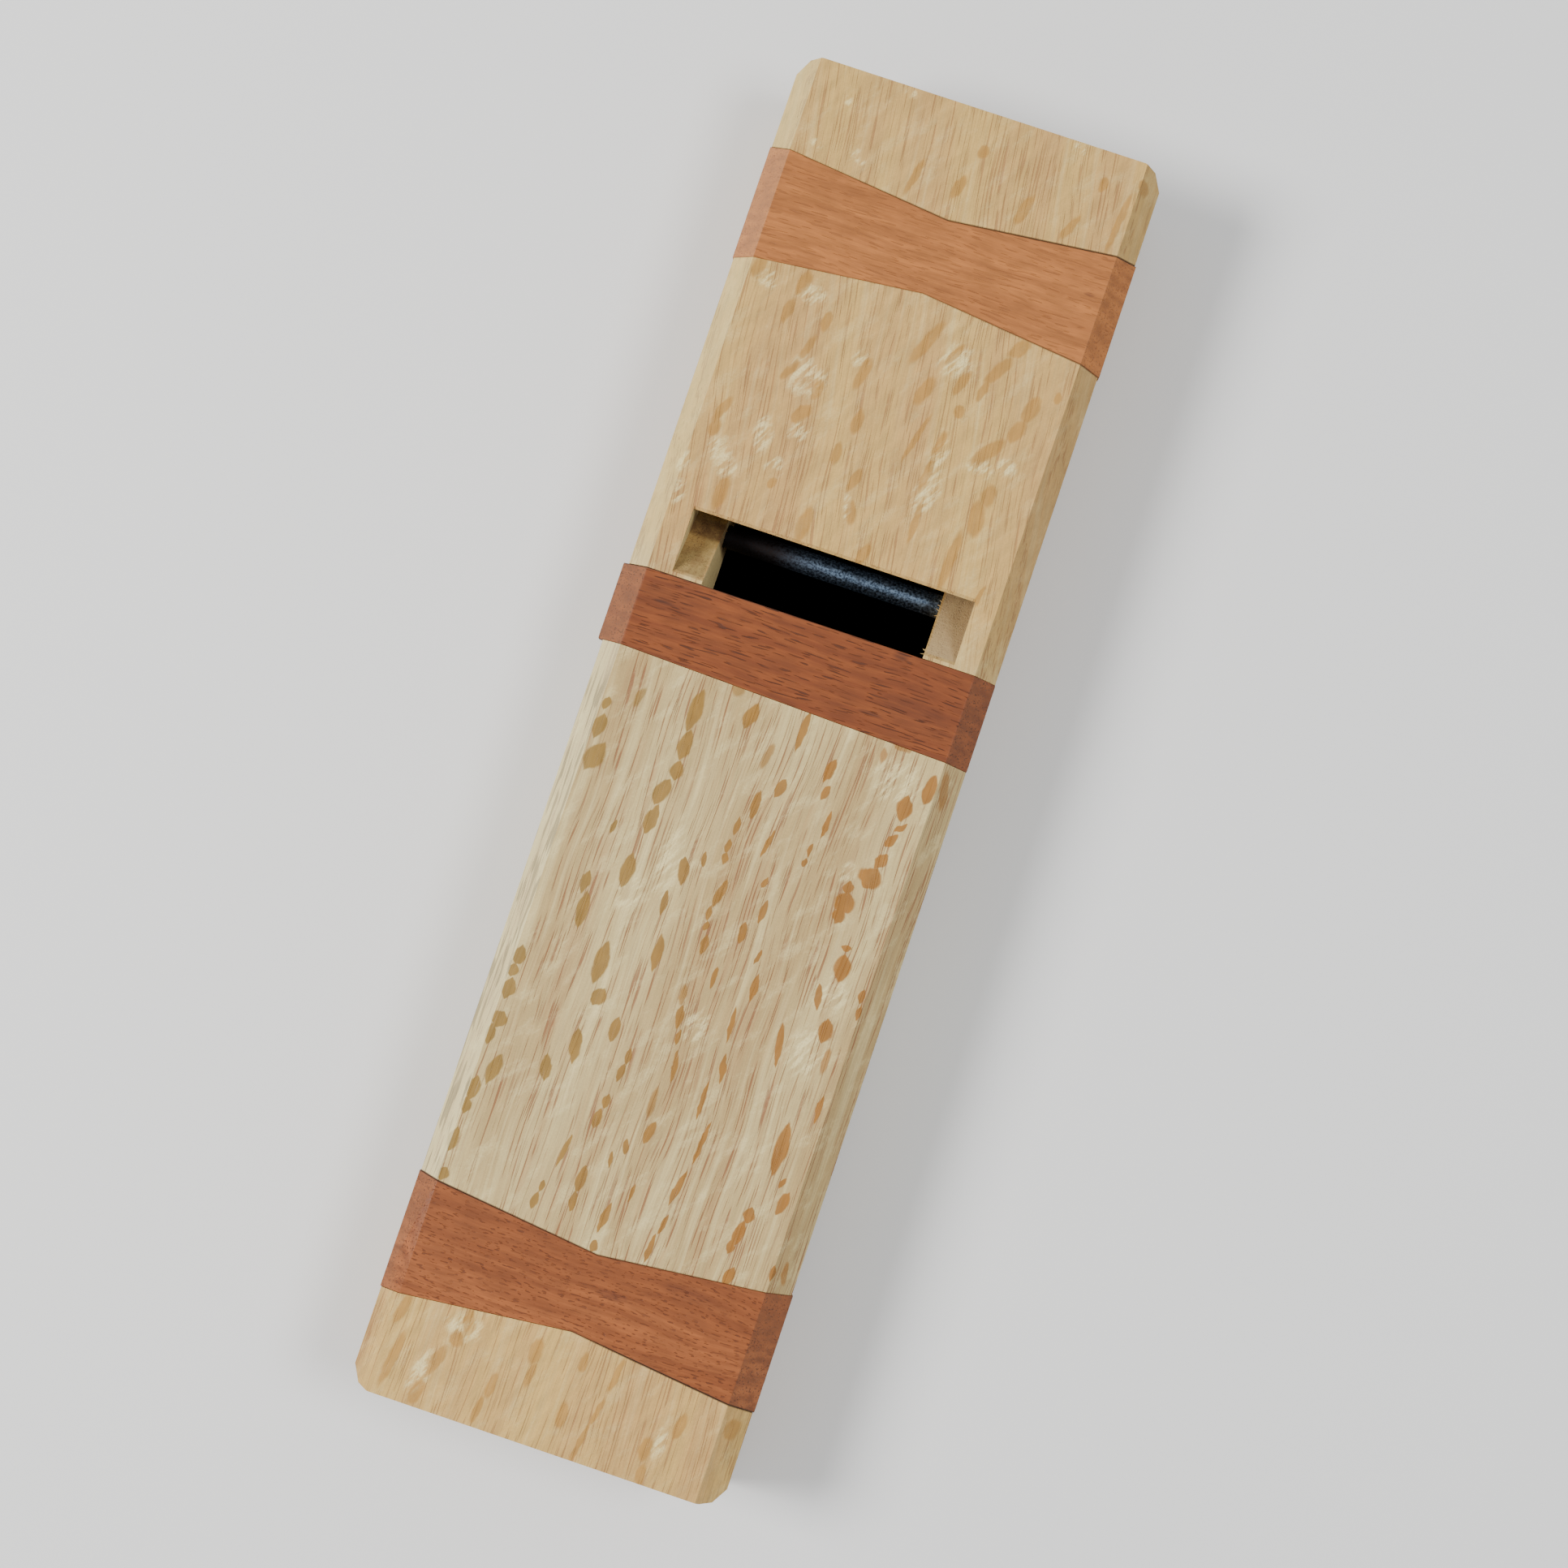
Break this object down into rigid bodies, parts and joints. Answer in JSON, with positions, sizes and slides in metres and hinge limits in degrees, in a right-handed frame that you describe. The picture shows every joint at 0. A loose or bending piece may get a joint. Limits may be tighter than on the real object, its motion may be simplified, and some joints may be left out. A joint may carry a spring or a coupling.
{
  "type": "wooden pull plane",
  "caption": "Oak pull-plane body, sole up, with hardwood wear inlays, an open mouth with side grooves, a cross pin, and an iron and chip-breaker drawn back on their bed.",
  "frame": {"origin": "middle of the sole, on its surface", "axes": "+Z straight out of the sole, so the plane lies sole up; +Y along the plane from toe to tail; +X across it"},
  "size_m": [0.0815, 0.29, 0.0697],
  "materials": {
    "oak": "bare, planed",
    "red_hardwood": "bare, planed",
    "orange_hardwood": "bare, planed",
    "pin_steel": "dull, lightly spotted",
    "forged_steel": "dark forged, ground at the edge",
    "breaker_steel": "ground"
  },
  "bodies": {
    "plane_stock": {"stock": "oak", "front_inlay": "red_hardwood", "mouth_inlay": "red_hardwood", "rear_inlay": "orange_hardwood", "cross_pin": "pin_steel"},
    "cutting_iron": {"iron": "forged_steel"},
    "breaker": {"chip_breaker": "breaker_steel"}
  },
  "joints": [
    {"name": "iron_slide", "type": "slide", "parent": "plane_stock", "child": "cutting_iron", "axis": [0, -0.766, 0.6428], "range_m": [-0.045, 0.021]},
    {"name": "chipbreaker_slide", "type": "slide", "parent": "cutting_iron", "child": "breaker", "axis": [0, -0.7507, 0.6607], "range_m": [-0.045, 0.0025]}
  ]
}
